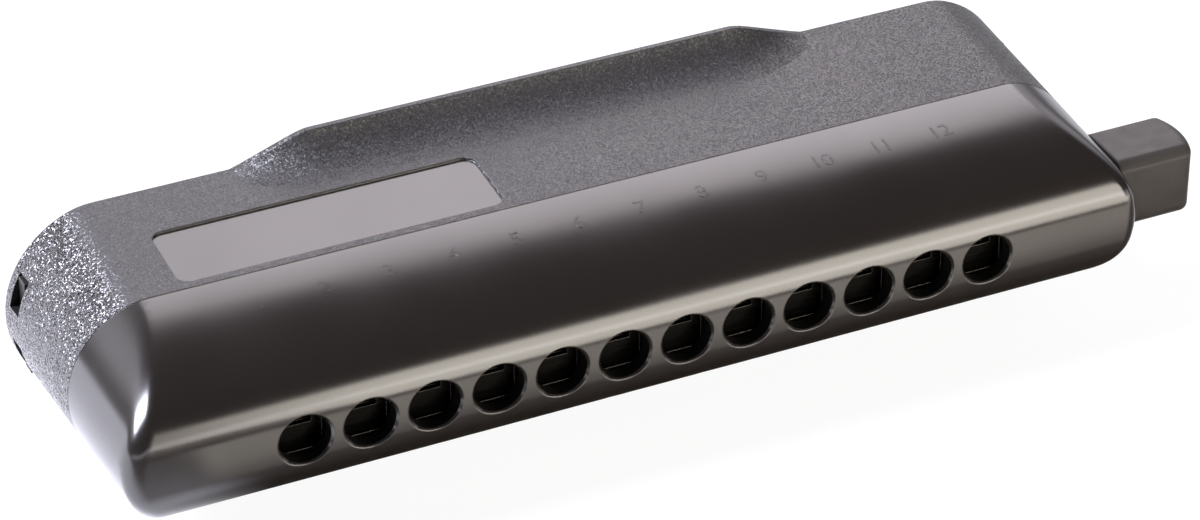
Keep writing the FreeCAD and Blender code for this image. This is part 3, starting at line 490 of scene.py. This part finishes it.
# Materials
class Graph:
    """A small helper for writing a material's nodes."""

    def __init__(self, name):
        self.material = bpy.data.materials.new(name)
        self.material.use_nodes = True
        self.tree = self.material.node_tree
        self.tree.nodes.clear()
        self.shader = self.add("ShaderNodeBsdfPrincipled")
        self.out = self.add("ShaderNodeOutputMaterial")
        self.tree.links.new(self.shader.outputs[0], self.out.inputs["Surface"])
        coordinates = self.add("ShaderNodeTexCoord")
        self.place = coordinates.outputs["Object"]
        self.facing = coordinates.outputs["Normal"]

    def add(self, kind, **settings):
        item = self.tree.nodes.new(kind)
        for key, value in settings.items():
            setattr(item, key, value)
        return item

    def feed(self, socket, value):
        """Link a node's output to a socket, or set the socket's own value."""
        if isinstance(value, bpy.types.NodeSocket):
            self.tree.links.new(value, socket)
        elif isinstance(value, tuple) and socket.type == "RGBA":
            socket.default_value = (*value, 1)
        else:
            socket.default_value = value

    def math(self, operation, first, second=0.0, third=0.0):
        item = self.add("ShaderNodeMath", operation=operation)
        for socket, value in zip(item.inputs, (first, second, third)):
            self.feed(socket, value)
        return item.outputs[0]

    def vector(self, operation, first, second=(0, 0, 0)):
        item = self.add("ShaderNodeVectorMath", operation=operation)
        self.feed(item.inputs[0], first)
        if operation == "SCALE":
            self.feed(item.inputs["Scale"], second)
        else:
            self.feed(item.inputs[1], second)
        return item.outputs["Value" if operation == "DOT_PRODUCT" else "Vector"]

    def stretched(self, x, y, z):
        """The place scaled along each axis, for streaks."""
        return self.vector("MULTIPLY", self.place, (x, y, z))

    def noise(self, scale, detail=2.0, roughness=0.5, place=None):
        item = self.add("ShaderNodeTexNoise")
        self.feed(item.inputs["Vector"], place or self.place)
        item.inputs["Scale"].default_value = scale
        item.inputs["Detail"].default_value = detail
        item.inputs["Roughness"].default_value = roughness
        return item.outputs["Fac"]

    def cells(self, scale):
        """A random colour for each small cell."""
        item = self.add("ShaderNodeTexVoronoi")
        self.feed(item.inputs["Vector"], self.place)
        item.inputs["Scale"].default_value = scale
        return item.outputs["Color"]

    def ramp(self, value, low, high, to_low=0.0, to_high=1.0):
        item = self.add("ShaderNodeMapRange", interpolation_type="SMOOTHSTEP")
        for key, entry in zip(RAMP_KEYS, (value, low, high, to_low, to_high)):
            self.feed(item.inputs[key], entry)
        return item.outputs[0]

    def colour(self, share, low, high):
        item = self.add("ShaderNodeMix", data_type="RGBA")
        self.feed(item.inputs["Factor"], share)
        self.feed(item.inputs[6], low)
        self.feed(item.inputs[7], high)
        return item.outputs[2]

    def bump(self, height, distance, normal):
        item = self.add("ShaderNodeBump")
        self.feed(item.inputs["Height"], height)
        item.inputs["Distance"].default_value = distance
        self.feed(item.inputs["Normal"], normal)
        return item.outputs[0]

    def soft_edges(self, radius):
        """The normal with edges rounded over a radius, and where those edges are."""
        bevel = self.add("ShaderNodeBevel", samples=6)
        bevel.inputs["Radius"].default_value = radius
        normal = bevel.outputs[0]
        same = self.vector("DOT_PRODUCT", normal, self.add("ShaderNodeNewGeometry").outputs["Normal"])
        return normal, self.ramp(same, 0.97, 0.8)

    def axis(self, letter, vector=None):
        item = self.add("ShaderNodeSeparateXYZ")
        self.feed(item.inputs[0], vector or self.place)
        return item.outputs[letter]

    def set(self, **values):
        for key, value in values.items():
            self.feed(self.shader.inputs[key.replace("_", " ")], value)
        return self.material


def recess_mask(g, x, y, z):
    """One inside the plain recess on the upper flank, and zero outside it."""
    (left, near), (right, far) = PANEL
    base = (ROW_Z + SHOULDER_HALF - SLOPE * (MOUTH_Y + SHOULDER_Y) - RECESS_CLEAR) * MM
    flank = g.math("MULTIPLY_ADD", y, SLOPE, base)
    mask = 1.0
    for test, value, limit in (
        ("GREATER_THAN", x, left * MM),
        ("LESS_THAN", x, right * MM),
        ("GREATER_THAN", y, (near + MOUTH_Y) * MM),
        ("LESS_THAN", y, (far + MOUTH_Y) * MM),
        ("LESS_THAN", z, flank),
        ("GREATER_THAN", z, (ROW_Z + FACE_HALF) * MM),
    ):
        mask = g.math("MULTIPLY", mask, g.math(test, value, limit))
    return mask


def casing_material():
    """Black moulded plastic: a smooth nose and recess, and spark-eroded grain at the rear."""
    g = Graph("casing_black")
    x, y, z = g.axis("X"), g.axis("Y"), g.axis("Z")
    line = SHOULDER_Y + MOUTH_Y
    rear = g.ramp(y, (line - 0.1) * MM, (line + 0.1) * MM)
    grain = g.math("MULTIPLY", rear, g.math("SUBTRACT", 1.0, recess_mask(g, x, y, z)))
    soft, edge = g.soft_edges(0.00028)
    # The grain is coarser on what faces left, as in the photograph
    aside = g.ramp(g.axis("X", g.facing), -0.15, -0.6)
    lean = g.math("MULTIPLY", grain, g.math("MULTIPLY_ADD", aside, 0.78, 0.34))
    tilt = g.vector("SCALE", g.vector("SUBTRACT", g.cells(GRAIN_FACETS), (0.5, 0.5, 0.5)), lean)
    faceted = g.vector("NORMALIZE", g.vector("ADD", soft, tilt))
    step = g.math("MULTIPLY", rear, 2.0)
    pits = g.math("MULTIPLY_ADD", g.noise(GRAIN_PITS, 2.0, 0.6), g.math("MULTIPLY", grain, 0.5), step)
    smears = g.ramp(g.noise(60, 3, 0.5), 0.3, 0.7, -0.015, 0.02)
    rough = g.math("ADD", g.ramp(grain, 0, 1, 0.2, g.ramp(aside, 0, 1, 0.42, 0.2)), smears)
    dark_pits = g.math("MULTIPLY", grain, g.ramp(g.noise(GRAIN_DARK_PITS, 1, 0.5), 0.36, 0.5, 0.3, 0))
    rough = g.math("MULTIPLY_ADD", edge, 0.05, g.math("ADD", rough, dark_pits))
    specks = g.noise(1500, 4, 0.7)
    smooth_shade = g.colour(specks, (0.0085, 0.0068, 0.0055), (0.0115, 0.0092, 0.0076))
    grain_shade = g.colour(g.noise(2600, 2, 0.6), (0.0055, 0.0047, 0.0045), (0.023, 0.0205, 0.0195))
    shade = g.colour(grain, smooth_shade, grain_shade)
    shade = g.colour(g.math("MULTIPLY", edge, 0.5), shade, (0.06, 0.052, 0.046))
    normal = g.bump(pits, 0.00008, faceted)
    return g.set(Base_Color=shade, Roughness=rough, Specular_IOR_Level=1, Normal=normal)


def inner_material():
    """The casing's unpolished inside, its colour darkened as painted shade in the holes and slots."""
    g = Graph("casing_inner")
    soft, edge = g.soft_edges(0.0002)
    flow = g.noise(90, 3, 0.5, g.stretched(1, 3, 3))
    # Darker than the outside's plastic: painted shade inside the holes and slots
    shade = g.colour(flow, (0.0028, 0.0027, 0.0026), (0.0055, 0.0053, 0.005))
    shade = g.colour(g.math("MULTIPLY", edge, 0.4), shade, (0.02, 0.018, 0.016))
    rough = g.ramp(g.noise(700, 3, 0.6), 0.3, 0.7, 0.55, 0.68)
    normal = g.bump(g.noise(4200, 2), 0.00003, soft)
    return g.set(Base_Color=shade, Roughness=rough, Specular_IOR_Level=0.2, Normal=normal)


def button_material():
    """Satin black plastic, a little polished by the thumb along its edges, where its colour is also
    darkened as painted shade.
    """
    g = Graph("button_black")
    soft, edge = g.soft_edges(0.0008)
    mottle = g.noise(420, 4, 0.6)
    shade = g.colour(mottle, (0.017, 0.0138, 0.0112), (0.025, 0.0215, 0.0185))
    # Darker edges: painted shade along the rounding, beside the smoother polish
    shade = g.colour(g.math("MULTIPLY", edge, 0.5), shade, (0.012, 0.0105, 0.0095))
    rough = g.math("MULTIPLY_ADD", edge, -0.06, g.ramp(mottle, 0.3, 0.7, 0.38, 0.46))
    # The rounding between top and front is duller than both, as in the photograph
    turned = g.math("MULTIPLY", g.axis("Y", g.facing), g.axis("Z", g.facing))
    rough = g.math("ADD", rough, g.ramp(turned, -0.05, -0.3, 0, 0.35))
    normal = g.bump(g.noise(4600, 2), 0.00002, soft)
    return g.set(Base_Color=shade, Roughness=rough, Specular_IOR_Level=0.4, Normal=normal)


def comb_material():
    """Black comb plastic with flow marks, darkened further as painted shade in the end slots, with a
    painted cream highlight along its edges.
    """
    g = Graph("comb_black")
    soft, edge = g.soft_edges(0.0002)
    flow = g.noise(140, 4, 0.6, g.stretched(0.5, 2, 2))
    # Near black: painted shade where the comb shows in the end slots
    shade = g.colour(flow, (0.007, 0.0068, 0.0065), (0.013, 0.0125, 0.012))
    # Cream edges: a painted highlight, as on the catch noses
    shade = g.colour(g.math("MULTIPLY", edge, 0.6), shade, (0.2, 0.175, 0.135))
    rough = g.ramp(flow, 0.3, 0.7, 0.42, 0.55)
    normal = g.bump(g.noise(3000, 3), 0.00004, soft)
    return g.set(Base_Color=shade, Roughness=rough, Specular_IOR_Level=0.25, Normal=normal)


def metal_material(name, dark, bright, rough, streaks, tarnish=None, wear_and_glint=None):
    """Worked metal: streaks along one way, tarnish in patches and bright edges, worn on every metal
    and a painted glint on the dark guide steel.
    """
    g = Graph(name)
    soft, edge = g.soft_edges(0.00012)
    lines = g.noise(900, 3, 0.7, g.stretched(*streaks))
    patches = g.noise(130, 4, 0.6)
    shade = g.colour(lines, dark, bright)
    if tarnish:
        shade = g.colour(g.ramp(patches, 0.5, 0.75, 0, 0.55), shade, tarnish)
    wear_and_glint = wear_and_glint or tuple(min(1, 1.15 * part) for part in bright)
    shade = g.colour(g.math("MULTIPLY", edge, 0.6), shade, wear_and_glint)
    both = g.math("MULTIPLY_ADD", patches, 0.5, g.math("MULTIPLY", lines, 0.5))
    spread = g.ramp(both, 0.3, 0.7, rough - 0.06, rough + 0.07)
    return g.set(Base_Color=shade, Metallic=1, Roughness=spread, Normal=g.bump(lines, 0.000008, soft))


def rubber_material():
    """The dull grey stop."""
    g = Graph("stop_grey")
    soft, edge = g.soft_edges(0.00015)
    dust = g.noise(900, 4, 0.7)
    shade = g.colour(dust, (0.02, 0.02, 0.02), (0.045, 0.044, 0.043))
    rough = g.math("MULTIPLY_ADD", edge, -0.1, g.ramp(dust, 0.3, 0.7, 0.7, 0.85))
    return g.set(Base_Color=shade, Roughness=rough, Normal=g.bump(dust, 0.00003, soft))


def film_material():
    """The milky film of the valves, with a faint fibre."""
    g = Graph("valve_milky")
    soft, edge = g.soft_edges(0.0001)
    fibre = g.noise(1500, 3, 0.6, g.stretched(3, 0.5, 1))
    shade = g.colour(fibre, (0.62, 0.61, 0.57), (0.78, 0.77, 0.74))
    shade = g.colour(g.math("MULTIPLY", edge, 0.5), shade, (0.85, 0.85, 0.83))
    rough = g.ramp(fibre, 0.3, 0.7, 0.34, 0.48)
    normal = g.bump(fibre, 0.000006, soft)
    return g.set(Base_Color=shade, Roughness=rough, Transmission_Weight=0.15, Normal=normal)


def dress(casing, numerals, spring):
    """Give every piece and every carried-over CAD node its material."""
    finishes = {
        "casing_plastic": casing_material(),
        "button_plastic": button_material(),
        "comb_plastic": comb_material(),
        # The guide steel: near black as painted shade inside the holes, its bright edges a painted
        # glint
        "guide_steel": metal_material(
            "guide_steel_dark", dark=(0.006, 0.0058, 0.0052), bright=(0.013, 0.0122, 0.011), rough=0.3,
            streaks=(0.2, 4, 4), wear_and_glint=(0.3, 0.26, 0.22)),
        "spring_steel": metal_material(
            "spring_bright", dark=(0.42, 0.42, 0.42), bright=(0.6, 0.6, 0.59), rough=0.28,
            streaks=(1, 1, 1)),
        "fastener_steel": metal_material(
            "fastener_zinc", dark=(0.5, 0.5, 0.52), bright=(0.64, 0.64, 0.65), rough=0.3,
            streaks=(1, 1, 1)),
        "stop_rubber": rubber_material(),
        "plate_brass": metal_material(
            "plate_brass_rolled", dark=(0.68, 0.5, 0.22), bright=(0.8, 0.61, 0.3), rough=0.32,
            streaks=(0.15, 4, 4), tarnish=(0.42, 0.27, 0.12)),
        "reed_brass": metal_material(
            "reed_brass_ground", dark=(0.76, 0.59, 0.3), bright=(0.9, 0.74, 0.43), rough=0.24,
            streaks=(5, 0.2, 5), tarnish=(0.6, 0.42, 0.2)),
        "valve_film": film_material(),
    }
    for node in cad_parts.values():
        node.material_slots[0].material = finishes[node.data.materials[0].name]
    casing.data.materials[0] = finishes["casing_plastic"]
    casing.data.materials.append(inner_material())
    for numeral in numerals:
        numeral.data.materials.clear()
        numeral.data.materials.append(finishes["casing_plastic"])
    spring.data.materials.append(finishes["spring_steel"])


make_camera()
make_lamps()
make_room()
make_floor()
dress(make_casing(), make_numerals(), make_spring())
